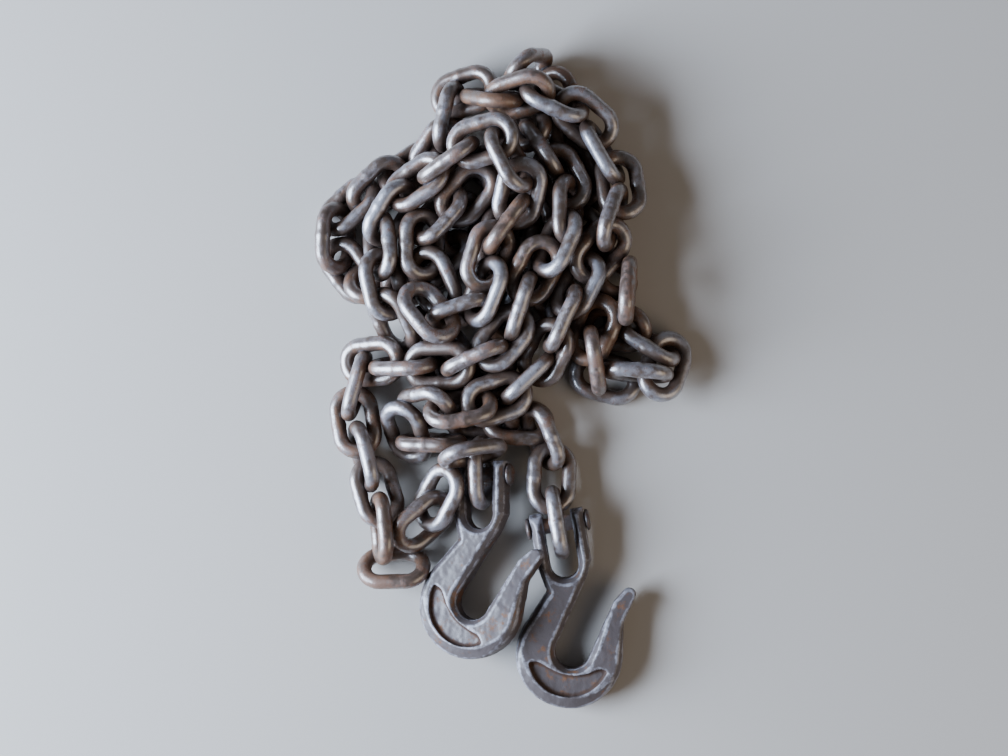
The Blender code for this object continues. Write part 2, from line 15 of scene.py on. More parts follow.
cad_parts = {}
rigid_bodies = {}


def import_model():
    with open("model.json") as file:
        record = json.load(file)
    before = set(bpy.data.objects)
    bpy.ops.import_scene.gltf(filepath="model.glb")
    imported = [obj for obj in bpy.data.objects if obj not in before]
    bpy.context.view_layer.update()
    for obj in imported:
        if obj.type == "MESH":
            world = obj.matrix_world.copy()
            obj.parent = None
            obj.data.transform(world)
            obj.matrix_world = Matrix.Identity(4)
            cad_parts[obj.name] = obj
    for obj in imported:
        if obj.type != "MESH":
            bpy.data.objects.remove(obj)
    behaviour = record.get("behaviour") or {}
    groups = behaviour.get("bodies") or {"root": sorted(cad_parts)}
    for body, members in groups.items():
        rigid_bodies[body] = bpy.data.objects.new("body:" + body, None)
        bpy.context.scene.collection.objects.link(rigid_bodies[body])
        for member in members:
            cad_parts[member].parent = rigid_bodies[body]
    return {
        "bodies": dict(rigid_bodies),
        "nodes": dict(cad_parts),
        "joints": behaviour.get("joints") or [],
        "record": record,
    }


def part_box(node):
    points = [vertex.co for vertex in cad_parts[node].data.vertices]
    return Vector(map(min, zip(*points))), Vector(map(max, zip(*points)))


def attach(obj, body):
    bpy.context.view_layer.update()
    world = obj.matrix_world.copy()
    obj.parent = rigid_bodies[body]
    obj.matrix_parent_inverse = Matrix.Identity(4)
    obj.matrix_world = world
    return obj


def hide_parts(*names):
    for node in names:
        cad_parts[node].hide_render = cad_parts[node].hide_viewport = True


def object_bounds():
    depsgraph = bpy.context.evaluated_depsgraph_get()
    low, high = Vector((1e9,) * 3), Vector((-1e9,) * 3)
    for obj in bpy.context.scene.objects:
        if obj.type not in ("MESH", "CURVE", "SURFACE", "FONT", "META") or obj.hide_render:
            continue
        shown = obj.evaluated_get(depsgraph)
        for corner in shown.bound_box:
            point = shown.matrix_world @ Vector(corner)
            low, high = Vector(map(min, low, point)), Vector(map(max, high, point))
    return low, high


bl_info = {
    "name": "Heap of iron chain",
    "version": (1, 0, 0),
    "blender": (4, 5, 0),
    "location": "View3D > Sidebar > Chain",
    "description": "Builds the fine meshes, materials, light and camera of a heap of iron chain",
    "category": "Add Mesh",
}

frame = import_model()
CAD_BOX = np.array([list(corner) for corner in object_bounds()])

# Links: round bar, bent to a long ring. The inside length is also the pitch of the tight chain.
BAR = 0.010
LINK_INSIDE = 0.029
LINK_WIDTH = 0.013
BOW_STEPS = 4
RUN_LINKS = 4
WORN = 0.0018
GAP = 0.0003

# A link's marks: its shallow waves and their number to the metre, how far the weld strays along
# its side, and the seed of all the chances.
WAVES = 3
WAVE_COUNT = 200
WELD_STRAY = 0.0006
SEED = 11

# How finely round shapes are made, in degrees, how near two corners are welded in an outline's
# mesh, and how near in a turned one.
ARC_STEP = 15
WELD = 0.00001
CLOSE = GAP / 10

# Hooks: a fork with two ears, a neck that leans to the left, and a round bowl that ends in a beak.
# Places on a hook are measured from the middle of its pin, to the right and towards the ears.
HOOK_THICK = 0.018
EDGE = 0.003
EAR_REACH = 0.0178
SLOT_WIDTH = 0.018
SLOT_DEPTH = 0.035
WAIST_IN = 0.0033
WAIST_DOWN = 0.0065
NECK_IN = 0.0048
NECK_DOWN = 0.0015
BOWL = (-0.0070, -0.0845)
BOWL_OUTER = 0.035
THROAT = (-0.0045, -0.0825)
THROAT_RADIUS = 0.0112
BEAK = (0.0380, -0.0525)
BEAK_RADIUS = 0.0045
BEAK_FRONT = (-0.0110, -0.0030)
BEAK_BACK = (-0.0065, -0.0170)
BEAK_THICK = 0.010
BEAK_LEAN = math.radians(58)
TAPER_LENGTH = 0.040
TAPER_REACH = 0.014
RECESS_DEPTH = 0.003
RECESS_RIM = 0.0085
RECESS_LAND = 0.004
RECESS_BELLY = 0.35
LEFT_RECESS = (150, 292)
RIGHT_RECESS = (180, 328)
BEAK_ROUND = (-20, 130)

# The wide slope round the outside of a bowl: where it runs, in degrees, in how many steps it is
# cut, and how far aside its middle lies, as a share of its width, so that it runs out at its ends.
SLOPE_ARC = (155, 335)
SLOPE_STEPS = 60
SLOPE_ASIDE = 0.6

# The forging's marks: lumps to the metre, coarse and fine, with the fine ones' share, what makes
# a bend of the surface a share of wear on an edge, or of painted shade and old rust in a hollow,
# the most wear, and the painted shade underneath.
LUMPS = (160, 420)
FINE_LUMPS = 0.6
BEND_SCALE = 16000
MOST_WEAR = 0.26
UNDER_SHADE = 0.6

# Clevis pins: round bars, riveted over outside the ears.
PIN = 0.010
PIN_HEAD = 0.014
HEAD_THICK = 0.003
PIN_STEPS = 32

# How a pin's head is rounded, at the ear and at its end: how far along, and short of its rim.
HEAD_FOOT = ((0.0, 0.0012), (0.0006, 0.0))
HEAD_CROWN = ((0.0011, 0.0002), (0.0003, 0.0016))

# Where the hooks lie: the left one's pin, the heading of each shank, and where the right one's
# bowl lies from the left one's. The left one's beak leans on the right one's ear.
LEFT_HOOK = (-0.0118, -0.0618)
LEFT_HEADING = math.radians(0)
RIGHT_HEADING = math.radians(9.6)
BOWLS_WAY = math.radians(-26.8)
BOWLS_APART = 0.0012
BEAK_OVER = 0.006
LINK_AHEAD = 0.0015

# The path: for each link its place in millimetres, right, away and up, and its roll in degrees
# from flat. It was chosen for links with an inside length of PATH_LINK and grows with them.
PATH_LINK = 0.029
PATH = (
    # from the left hook, round the loop beside it
    (-13, -64, 17, 0), (-25, -55, 30, 70), (-38, -80, 17, -20), (-52, -96, 20, 45),
    (-67, -117, 14, -40), (-79, -95, 18, 65), (-80, -71, 16, -10), (-92, -50, 17, 80),
    (-90, -27, 16, 0), (-97, -4, 18, 85), (-80, 11, 20, 20), (-60, 7, 30, -75),
    (-37, 5, 40, 0),
    # up the middle of the heap to its far end
    (-13, 10, 60, 90), (3, 29, 62, 0), (15, 48, 64, 90), (26, 70, 64, -15),
    (37, 88, 62, 50), (40, 109, 60, -75), (40, 128, 60, 0), (30, 148, 62, 90),
    (21, 173, 46, 20), (22, 196, 20, -40),
    # back down underneath, and out to the bulge on the right
    (37, 181, 17, -45), (44, 161, 22, 45), (52, 140, 24, -45), (53, 117, 24, 45),
    (57, 95, 22, -45), (70, 74, 22, 45), (83, 53, 30, 85), (62, 33, 36, 10),
    (62, 14, 30, 90), (69, 2, 14, 0), (88, 6, 24, 85), (104, 5, 16, 0),
    (93, 28, 16, 85),
    # hidden, inside the heap and along the floor to the left
    (74, 37, 15, 45), (53, 40, 15, -45), (37, 56, 15, 45), (30, 79, 15, -45),
    (22, 102, 15, 45), (9, 117, 15, -45), (-1, 95, 15, 45), (-2, 73, 15, -45),
    (3, 48, 15, 45), (1, 24, 15, -45), (-14, 3, 15, 45), (-36, -4, 15, -45),
    (-45, 14, 15, 45),
    # up the left side and over to the middle
    (-43, 29, 30, -45), (-66, 41, 24, 45), (-68, 64, 34, -45), (-78, 86, 36, 45),
    (-71, 109, 36, -45), (-51, 126, 42, 45), (-30, 139, 50, 75), (-8, 149, 52, -20),
    # down beside the middle strand
    (8, 142, 56, 60), (7, 118, 60, 0), (6, 95, 60, 85), (-9, 78, 58, 25),
    (-6, 58, 54, -45), (-25, 44, 48, 70), (-47, 43, 40, -15),
    # up once more and back down underneath
    (-41, 64, 32, 45), (-51, 85, 34, -45), (-41, 106, 36, 45), (-20, 123, 34, -45),
    (-15, 136, 26, 45), (-22, 122, 15, -45), (-30, 102, 15, 45), (-40, 82, 16, -45),
    (-58, 69, 16, 45),
    # round the left edge and across the far end
    (-79, 63, 16, -45), (-95, 76, 15, 45), (-108, 94, 15, -45), (-95, 113, 15, 45),
    (-77, 129, 17, -45), (-57, 141, 18, 45), (-39, 150, 18, 0), (-31, 163, 22, 85),
    (-23, 185, 26, 0), (-5, 182, 40, 80), (13, 184, 54, -25), (36, 181, 50, 60),
    # down the right edge
    (54, 167, 42, -20), (66, 147, 40, 90), (78, 125, 38, 0), (71, 103, 42, 90),
    (65, 82, 48, 35), (49, 59, 54, -30), (45, 37, 58, 90), (27, 17, 54, 0),
    (21, -2, 46, 90),
    # across the near end and back to the right hook
    (-2, -8, 44, 20), (-24, -16, 42, -60), (-47, -14, 36, 40), (-60, -32, 20, -45),
    (-39, -38, 18, 45), (-15, -29, 36, -45), (9, -29, 32, 45), (28, -35, 24, -65),
    (34, -59, 16, 10), (39, -85, 17, 0),
)

# Letting the chain down. Crossing strands are first drawn apart, to SPREAD bars, and then the
# links fall and are held to the path less and less. At the end only their contacts move them.
# Each step is rounded to so many digits, and what it compares to a few more, so that the last
# digits of the sums don't decide how the heap falls.
STEPS = 1500
DIGITS = 7
FINE_DIGITS = 10
APART_UNTIL = 0.2
FALL_UNTIL = 0.8
FALL = 0.00006
KEEP_PLACE = 0.02
KEEP_TURN = 0.03
SPREAD = 2.1
LIFT = 0.4
CORNERS = 0.0012

# A link's moves in one step: how much of the mean push it takes, the longest way, as a share of
# the bar, the widest turn, and how far out its weight lies, as a share of its inside length.
EAGER = 1.7
LONGEST_MOVE = 0.1
WIDEST_TURN = 0.06
WEIGHT_OUT = 0.55


def frame_of(along, roll):
    """Unit vectors along a link, across it and square to it, rolled about its length from flat."""
    side = np.cross(along, (0, 0, 1))
    side /= np.linalg.norm(side, axis=1, keepdims=True)
    raised = np.cross(side, along)
    across = np.cos(roll)[:, None] * side + np.sin(roll)[:, None] * raised
    return np.stack([along, across, np.cross(along, across)], 2)


def hook_pose(place, heading, tilt):
    """The hook's matrix: its pin is held up by the link on it, and its bowl lies on the floor."""
    pin_up = BAR + PIN / 2 + 2 * GAP
    rim = arc(*BOWL, BOWL_OUTER - EDGE, 0, 360)
    under = [Vector((x, y, -HOOK_THICK / 2)) for x, y in rim]

    def pose(dip):
        stand = Matrix.Translation((*place, pin_up)) @ Matrix.Rotation(heading, 4, "Z")
        return stand @ Matrix.Rotation(dip, 4, "X") @ Matrix.Rotation(-tilt, 4, "Y")

    return pose(halved(lambda dip: min((pose(dip) @ point).z for point in under)))


def halved(height):
    """The angle at which a height that changes with it reaches zero."""
    low, high = math.radians(-30), math.radians(30)
    falling = height(low) > 0
    for _ in range(40):
        middle = (low + high) / 2
        if (height(middle) > 0) == falling:
            low = middle
        else:
            high = middle
    return low


def hook_poses():
    """Both hooks' matrices, with the left one tilted until its beak lies on the right one's ear."""
    apart = 2 * BOWL_OUTER + BOWLS_APART
    left, right = (
        np.array(Matrix.Rotation(heading, 2)) @ BOWL for heading in (LEFT_HEADING, RIGHT_HEADING)
    )
    place = LEFT_HOOK + left + apart * np.array((math.cos(BOWLS_WAY), math.sin(BOWLS_WAY))) - right
    lying = hook_pose(place, RIGHT_HEADING, 0)
    onto = lying.inverted()
    back = -Vector((math.cos(BEAK_LEAN), math.sin(BEAK_LEAN)))
    slope = (HOOK_THICK - BEAK_THICK) / 2 / TAPER_LENGTH

    def above(tilt):
        pose = onto @ hook_pose(LEFT_HOOK, LEFT_HEADING, tilt)
        under = (
            (*(Vector(BEAK) + run * back), -BEAK_THICK / 2 - run * slope)
            for run in (-BEAK_RADIUS, 0, BEAK_OVER)
        )
        return min((pose @ Vector(point)).z for point in under) - HOOK_THICK / 2 - GAP

    return hook_pose(LEFT_HOOK, LEFT_HEADING, halved(above)), lying


def hook_rods(pose):
    """The hook as round rods, which the links keep clear of: starts, lengths and radii."""
    mid_ear = (EAR_REACH + SLOT_WIDTH / 2) / 2
    ear = (EAR_REACH - SLOT_WIDTH / 2) / 2
    half = HOOK_THICK / 2
    rods = [
        ((side * mid_ear, half - 0.7 * ear, up), (side * mid_ear, -SLOT_DEPTH, up), ear)
        for side in (-1, 1)
        for up in (ear - half, 0, half - ear)
    ]
    thick = (BOWL_OUTER - THROAT_RADIUS) / 2
    ring = [(*point, 0) for point in arc(*BOWL, THROAT_RADIUS + thick, 150, 360)[::2]]
    rods.append(((0, -SLOT_DEPTH - half, 0), ring[0], half))
    rods += [(a, b, thick) for a, b in zip(ring, ring[1:])]
    rods.append((ring[-1], (*BEAK, 0), BEAK_THICK / 2))
    rods.append(((-EAR_REACH, 0, 0), (EAR_REACH, 0, 0), PIN / 2))
    tip = EAR_REACH + HEAD_THICK
    rods += [((way * EAR_REACH, 0, 0), (way * tip, 0, 0), PIN_HEAD / 2) for way in (-1, 1)]
    starts = np.array([pose @ Vector(a) for a, b, r in rods])
    ends = np.array([pose @ Vector(b) for a, b, r in rods])
    return starts, ends - starts, np.array([r for a, b, r in rods])


def bar_line():
    """Points round the middle of a link's bar: two half circles, joined by straight sides."""
    bow = (LINK_WIDTH + BAR) / 2
    turn = np.linspace(-math.pi / 2, math.pi / 2, BOW_STEPS + 1)
    half = (LINK_INSIDE - LINK_WIDTH) / 2
    end = np.stack([half + bow * np.cos(turn), bow * np.sin(turn), 0 * turn], 1)
    return np.concatenate([end, -end])


def dot(a, b):
    """Row by row, the products of two lists of vectors."""
    return np.einsum("ij,ij->i", a, b)


def unit(v):
    return v / np.linalg.norm(v, axis=1, keepdims=True)


def nearest(p, d, q, e):
    """The nearest points of the stretches p to p + d and q to q + e."""
    r = p - q
    dd, ee, de, dr, er = dot(d, d), dot(e, e), dot(d, e), dot(d, r), dot(e, r)
    flat = np.maximum(dd * ee - de * de, 1e-14)
    s = np.clip((de * er - dr * ee) / flat, 0, 1)
    t = (de * s + er) / ee
    held = np.clip(t, 0, 1)
    s = np.where(t != held, np.clip((held * de - dr) / dd, 0, 1), s)
    return p + s[:, None] * d, q + held[:, None] * e


def turned(frames, turn):
    """The frames after small rotations, given as vectors."""
    angle = np.linalg.norm(turn, axis=1, keepdims=True)
    x, y, z = (turn / np.maximum(angle, 1e-12)).T
    o = np.zeros_like(x)
    cross = np.array([[o, -z, y], [z, o, -x], [-y, x, o]]).transpose(2, 0, 1)
    s, c = np.sin(angle)[:, :, None], np.cos(angle)[:, :, None]
    matrix = np.eye(3) + s * cross + (1 - c) * np.einsum("nij,njk->nik", cross, cross)
    frames = np.einsum("nij,njk->nik", matrix, frames)
    along = unit(frames[:, :, 0])
    square = unit(np.cross(along, frames[:, :, 1]))
    return np.stack([along, np.cross(square, along), square], 2)


class Pushes:
    """What moves the links in one step: shifts and turns, added up over all their contacts."""

    def __init__(self, centres, free):
        self.centres = centres
        self.free = free
        self.shift = np.zeros_like(centres)
        self.turn = np.zeros_like(centres)
        self.count = np.zeros(len(centres))
        self.swing = (WEIGHT_OUT * LINK_INSIDE) ** 2

    def ease(self, link, arm):
        """How easily a push at this arm moves a link."""
        return self.free[link] * (1 + dot(arm, arm) / self.swing)

    def add(self, link, arm, way, size):
        size = (size * self.free[link])[:, None]
        np.add.at(self.shift, link, size * way)
        np.add.at(self.turn, link, size * arm / self.swing)
        np.add.at(self.count, link, 1)

    def between(self, one, at_one, two, at_two, lack):
        """Pushes two links apart by what they lack, from their nearest points."""
        way = at_one - at_two
        way /= np.maximum(np.linalg.norm(way, axis=1), 1e-9)[:, None]
        arm = np.cross(at_one - self.centres[one], way)
        other = np.cross(at_two - self.centres[two], way)
        size = lack / np.maximum(self.ease(one, arm) + self.ease(two, other), 1e-9)
        self.add(one, arm, way, size)
        self.add(two, other, way, -size)

    def against(self, link, at, way, lack):
        """Pushes a link off something that stays where it is."""
        arm = np.cross(at - self.centres[link], way)
        self.add(link, arm, way, lack / (1 + dot(arm, arm) / self.swing))


def start_of_chain(poses):
    """Every link on its place, along the path and rolled."""
    path = np.array(PATH)
    places = path[:, :3] * 0.001 * LINK_INSIDE / PATH_LINK
    along = np.empty_like(places)
    along[1:-1] = places[2:] - places[:-2]
    along[0], along[-1] = places[1] - places[0], places[-1] - places[-2]
    frames = frame_of(unit(along), np.radians(path[:, 3]))
    for link, pose, way in ((0, poses[0], 1), (-1, poses[1], -1)):
        across = np.array(pose.col[0].xyz)
        level = np.cross((0, 0, 1), across)
        level /= np.linalg.norm(level)
        upright = np.cross(across, level)
        lift = (LINK_WIDTH - PIN) / 2 - GAP
        places[link] = np.array(pose.translation) + LINK_AHEAD * level + lift * upright
        frames[link] = np.stack([way * level, upright, way * across], 1)
    return places, frames


def lay_chain(poses):
    """The links' centres and frames, once they lie on the floor, on the hooks and on each other."""
    places, start = start_of_chain(poses)
    count = len(places)
    centres, frames, line = places.copy(), start.copy(), bar_line()
    free = np.ones(count)
    free[[0, -1]] = 0
    one, two = np.triu_indices(count, 1)
    rods = [np.concatenate(values) for values in zip(*(hook_rods(pose) for pose in poses))]
    rod_at, rod_to, rod_thick = rods
    joined = (np.arange(count) + 1) % RUN_LINKS != 0
    next_gap = np.where(joined, BAR - WORN, BAR + GAP)
    spine = LINK_INSIDE - LINK_WIDTH
    for step in range(STEPS):
        done = step / STEPS
        apart = done < APART_UNTIL
        falling = APART_UNTIL <= done < FALL_UNTIL
        rest = (FALL_UNTIL - done) / (FALL_UNTIL - APART_UNTIL)
        bars = np.round(np.einsum("nij,sj->nsi", frames, line) + centres[:, None], FINE_DIGITS)
        sides = np.roll(bars, -1, axis=1) - bars
        push = Pushes(centres, free)
        if step % (2 if apart else 4) == 0:
            by = np.linalg.norm(centres[one] - centres[two], axis=1) < LINK_INSIDE + 3 * BAR
            first, second = one[by], two[by]
            loose = second - first > 1
            first_loose, second_loose = first[loose], second[loose]
            if apart:
                first, second = first[~loose], second[~loose]
            middle = bars + 0.5 * sides
            off = middle[first][:, :, None] - middle[second][:, None]
            pair, a, b = np.nonzero(np.einsum("pabi,pabi->pab", off, off) < (2.2 * BAR) ** 2)
            i, j = first[pair], second[pair]
            chained = j - i == 1
            room = np.where(chained, next_gap[i], BAR + GAP)
        if apart:
            lift_apart(push, centres, frames, places, first_loose, second_loose, spine)
        at_i, at_j = nearest(bars[i, a], sides[i, a], bars[j, b], sides[j, b])
        length = np.round(np.linalg.norm(at_i - at_j, axis=1), FINE_DIGITS)
        closest = np.full(count, np.inf)
        np.minimum.at(closest, i[chained], length[chained])
        tight = (length < room) | (chained & (length <= closest[i]))
        push.between(i[tight], at_i[tight], j[tight], at_j[tight], (room - length)[tight])
        off_rods(push, bars, sides, rod_at, rod_to, rod_thick)
        low, point = np.nonzero(bars[:, :, 2] < BAR / 2)
        up = np.tile((0.0, 0.0, 1.0), (len(low), 1))
        push.against(low, bars[low, point], up, BAR / 2 - bars[low, point, 2])
        share = EAGER / np.maximum(push.count, EAGER)
        shift, turn = push.shift * share[:, None], push.turn * share[:, None]
        keep = 2 if apart else rest if falling else 0
        sink = FALL * rest**0.7 if falling else 0
        shift[:, :2] += KEEP_PLACE * keep * (places - centres)[:, :2]
        shift[:, 2] -= sink
        lean = np.cross(frames[:, :, 0], start[:, :, 0])
        lean += 0.5 * np.cross(frames[:, :, 2], start[:, :, 2])
        turn += KEEP_TURN * keep * rest**falling * lean
        shift *= free[:, None] * short(shift, (1 + apart) * LONGEST_MOVE * BAR)
        turn *= free[:, None] * short(turn, WIDEST_TURN)
        centres = np.round(centres + shift, DIGITS)
        frames = np.round(turned(frames, turn), DIGITS)
    return centres, frames


def short(moves, most):
    """The factors that keep these moves under the given length."""
    length = np.linalg.norm(moves, axis=1, keepdims=True)
    return np.minimum(1, most / np.maximum(length, 1e-12))


def lift_apart(push, centres, frames, places, one, two, spine):
    """Parts crossing links upwards and downwards, so that none starts threaded through another."""
    a, b = spine * frames[one, :, 0], spine * frames[two, :, 0]
    at_one, at_two = nearest(centres[one] - a / 2, a, centres[two] - b / 2, b)
    off = at_one - at_two
    across = np.linalg.norm(off[:, :2], axis=1)
    room = np.sqrt(np.maximum(0, (SPREAD * BAR) ** 2 - across**2))
    above = np.where(places[one, 2] < places[two, 2], -1.0, 1.0)
    lack = np.round(room - above * off[:, 2], FINE_DIGITS)
    near = (lack > 0) & (across < SPREAD * BAR)
    lift = (np.minimum(lack, LIFT * BAR) * above / 2)[near]
    np.add.at(push.shift[:, 2], one[near], lift)
    np.add.at(push.shift[:, 2], two[near], -lift)
    np.add.at(push.count, one[near], 1)
    np.add.at(push.count, two[near], 1)


def off_rods(push, bars, sides, rod_at, rod_to, rod_thick):
    """Pushes the links off the hooks."""
    middle = rod_at + rod_to / 2
    by = np.abs(push.centres[:, None] - middle).max(2) < 2 * LINK_INSIDE
    link, rod = np.nonzero(by)
    count = bars.shape[1]
    point = np.tile(np.arange(count), len(link))
    link, rod = np.repeat(link, count), np.repeat(rod, count)
    at, on_rod = nearest(bars[link, point], sides[link, point], rod_at[rod], rod_to[rod])
    way = at - on_rod
    length = np.linalg.norm(way, axis=1)
    lack = np.round(rod_thick[rod] + BAR / 2 + CORNERS - length, FINE_DIGITS)
    hit = (lack > 0) & (push.free[link] > 0)
    push.against(link[hit], at[hit], (way / length[:, None])[hit], lack[hit])


def mesh_of(curve, name):
    """The mesh of a curve object, with its caps welded. The curve itself is removed."""
    graph = bpy.context.evaluated_depsgraph_get()
    mesh = bpy.data.meshes.new_from_object(curve.evaluated_get(graph))
    work = bmesh.new()
    work.from_mesh(mesh)
    bmesh.ops.remove_doubles(work, verts=work.verts, dist=WELD)
    bmesh.ops.recalc_face_normals(work, faces=work.faces)
    work.to_mesh(mesh)
    work.free()
    mesh.name = name
    bpy.data.objects.remove(curve, do_unlink=True)
    return mesh


def flat_curve(name, points, thick, edge=0.0):
    """A flat outline with thickness, and edges broken by a small slope."""
    data = bpy.data.curves.new(name, "CURVE")
    data.dimensions = "2D"
    data.fill_mode = "BOTH"
    data.extrude = thick / 2 - edge
    data.bevel_depth = edge
    data.bevel_resolution = 0
    data.offset = -edge
    spline = data.splines.new("POLY")
    spline.points.add(len(points) - 1)
    for point, (x, y) in zip(spline.points, points):
        point.co = (x, y, 0, 1)
    spline.use_cyclic_u = True
    curve = bpy.data.objects.new(name, data)
    bpy.context.scene.collection.objects.link(curve)
    return mesh_of(curve, name)


def arc(x, y, radius, start, end, step=ARC_STEP):
    """Points on an arc, with angles in degrees."""
    steps = math.ceil(abs(end - start) / step)
    return [
        (x + radius * math.cos(t), y + radius * math.sin(t))
        for t in np.radians(np.linspace(start, end, steps + 1))
    ]


def touch(point, circle, side):
    """The angle, in degrees, at which a line from this point touches a circle on one side."""
    x, y, radius = circle
    across, up = point[0] - x, point[1] - y
    spread = math.acos(radius / math.hypot(across, up))
    return math.degrees(math.atan2(up, across) + side * spread)


def hook_outline(step):
    """The hook from above: round the fork, down the neck, round the bowl and back up the throat."""
    slot = SLOT_WIDTH / 2
    top = HOOK_THICK / 2
    foot = slot - SLOT_DEPTH
    bowl = (*BOWL, BOWL_OUTER)
    throat = (*THROAT, THROAT_RADIUS)
    waist = (WAIST_IN - EAR_REACH, -SLOT_DEPTH - WAIST_DOWN)
    neck = (EAR_REACH - NECK_IN, -SLOT_DEPTH - NECK_DOWN)
    front = (BEAK[0] + BEAK_FRONT[0], BEAK[1] + BEAK_FRONT[1])
    back = (BEAK[0] + BEAK_BACK[0], BEAK[1] + BEAK_BACK[1])
    points = [(slot, top)] + arc(0, foot, slot, 0, -180, step)
    points += [(-slot, top), (-EAR_REACH, top), (-EAR_REACH, foot), waist]
    points += arc(*bowl, touch(waist, bowl, 1), touch(back, bowl, -1) + 360, step)
    points += [back] + arc(*BEAK, BEAK_RADIUS, *BEAK_ROUND, step) + [front]
    points += arc(*throat, touch(front, throat, -1), touch(neck, throat, 1) - 360, step)
    return points + [neck, (EAR_REACH, foot), (EAR_REACH, top)]


class ChainSettings(bpy.types.PropertyGroup):
    """How finely the links are made, and how their bars are worn."""

    bar_sides: IntProperty(
        name="Sides", description="Faces round a link's bar", default=20, min=8, max=32
    )
    bow_faces: IntProperty(
        name="Bow faces", description="Faces along each bow of a link", default=22, min=8, max=48
    )
    side_faces: IntProperty(
        name="Side faces", description="Faces along each straight side", default=10, min=4, max=32
    )
    weld_height: FloatProperty(
        name="Weld height", description="How far the weld stands out of the bar", default=0.00045,
        min=0.0, unit="LENGTH",
    )
    weld_width: FloatProperty(
        name="Weld width", description="Length of the weld along the bar", default=0.0028,
        min=0.0001, unit="LENGTH",
    )
    dents: FloatProperty(
        name="Dents", description="Depth of the bar's unevenness", default=0.00018, min=0.0,
        unit="LENGTH",
    )
    # How far a neighbour's painted shade reaches over a bar.
    shelter_reach: FloatProperty(
        name="Shelter reach", description="Distance over which a neighbour shades and rusts a bar",
        default=0.009, min=0.001, unit="LENGTH",
    )


class HookSettings(bpy.types.PropertyGroup):
    """How finely the hooks are made, and how soft their forged edges are."""

    edge: FloatProperty(
        name="Edge", description="Width of the slope round the hook's faces", default=0.0036,
        min=0.0, unit="LENGTH",
    )
    slope: FloatProperty(
        name="Bowl's slope",
        description="Width of the wide slope along the outside of the hook's bowl", default=0.0078,
        min=0.001, max=0.0082, unit="LENGTH",
    )
    arc_step: FloatProperty(
        name="Arc step", description="Degrees from point to point on the hook's round outlines",
        default=3.0, min=1.0, max=15.0,
    )
    voxel: FloatProperty(
        name="Grain of the mesh", description="Size of the faces of the hook's fine mesh",
        default=0.0008, min=0.0003, unit="LENGTH",
    )
    soften: IntProperty(
        name="Soften", description="Rounds of smoothing of the forged edges", default=6, min=0
    )
    dents: FloatProperty(
        name="Dents", description="Depth of the forging's unevenness", default=0.00022, min=0.0,
        unit="LENGTH",
    )


class LookSettings(bpy.types.PropertyGroup):
    """Colours and the amount of rust."""

    iron: FloatVectorProperty(
        name="Iron", subtype="COLOR", default=(0.29, 0.285, 0.32), min=0, max=1,
        description="Colour of the bare, rubbed iron",
    )
    skin: FloatVectorProperty(
        name="Skin", subtype="COLOR", default=(0.105, 0.066, 0.048), min=0, max=1,
        description="Colour of the dull skin of scale on the links",
    )
    hook_skin: FloatVectorProperty(
        name="Hooks", subtype="COLOR", default=(0.094, 0.078, 0.078), min=0, max=1,
        description="Colour of the dull skin of scale on the hooks and the pins",
    )
    rust: FloatVectorProperty(
        name="Rust", subtype="COLOR", default=(0.19, 0.088, 0.042), min=0, max=1,
        description="Colour of light rust in patches",
    )
    # Dark colour of old rust, also painted as shade in crevices and under the links and hooks.
    shade_and_old_rust: FloatVectorProperty(
        name="Old rust", subtype="COLOR", default=(0.060, 0.036, 0.027), min=0, max=1,
        description="Colour of old rust in sheltered places",
    )
    sheen: FloatProperty(
        name="Sheen", description="Strength of the bluish shine over the iron", default=0.9, min=0,
        max=1, subtype="FACTOR",
    )
    rust_amount: FloatProperty(
        name="Rust amount", description="Share of the surface that is rusty", default=0.45, min=0,
        max=1, subtype="FACTOR",
    )


class StageSettings(bpy.types.PropertyGroup):
    """The floor, the light and the camera."""

    floor_size: FloatProperty(
        name="Floor", description="Length of the floor's side", default=6.0, min=1, unit="LENGTH"
    )
    floor: FloatVectorProperty(
        name="Floor colour", subtype="COLOR", default=(0.51, 0.475, 0.435), min=0, max=1,
        description="Colour of the plain floor",
    )
    camera_place: FloatVectorProperty(
        name="Camera", subtype="XYZ", default=(0.0795, -0.0566, 1.221), unit="LENGTH",
        description="Where the camera stands, over the heap and a little to its right",
    )
    lens: FloatProperty(
        name="Lens", description="Focal length in millimetres", default=66.0, min=10
    )
    key_power: FloatProperty(
        name="Key light", description="Power of the large light on the left, in watts",
        default=146.0, min=0,
    )
    fill_power: FloatProperty(
        name="Fill light", description="Power of the light on the right, in watts", default=9.0,
        min=0,
    )
    sky: FloatProperty(
        name="Surrounding light", description="Strength of the even light all round", default=0.09,
        min=0,
    )


# The stage's lamps: places in metres, the side of their squares, and colours.
KEY_PLACE = (-1.46, -0.22, 0.70)
KEY_COLOUR = (0.66, 0.79, 1.0)
FILL_PLACE = (1.3, -0.6, 0.8)
FILL_COLOUR = (1.0, 0.82, 0.64)
LAMP_SIZE = 1.2
SKY_COLOUR = (0.92, 0.95, 1.0, 1)
FLOOR_STAIN = (0.43, 0.40, 0.365, 1)


class Value:
    """A socket of a node tree. Sums, products and quotients of values add Math nodes."""

    def __init__(self, graph, socket):
        self.graph = graph
        self.socket = socket

    def __add__(self, other):
        return self.graph.math("ADD", self, other)

    def __sub__(self, other):
        return self.graph.math("SUBTRACT", self, other)

    def __rsub__(self, other):
        return self.graph.math("SUBTRACT", other, self)

    def __mul__(self, other):
        return self.graph.math("MULTIPLY", self, other)

    def __truediv__(self, other):
        return self.graph.math("DIVIDE", self, other)

    __radd__ = __add__
    __rmul__ = __mul__

    def rising(self, low, high):
        """0 below the first value, 1 above the second, and a smooth step between."""
        inputs = {"Value": self, "From Min": low, "From Max": high}
        return self.graph.node("ShaderNodeMapRange", {"interpolation_type": "SMOOTHSTEP"}, inputs)


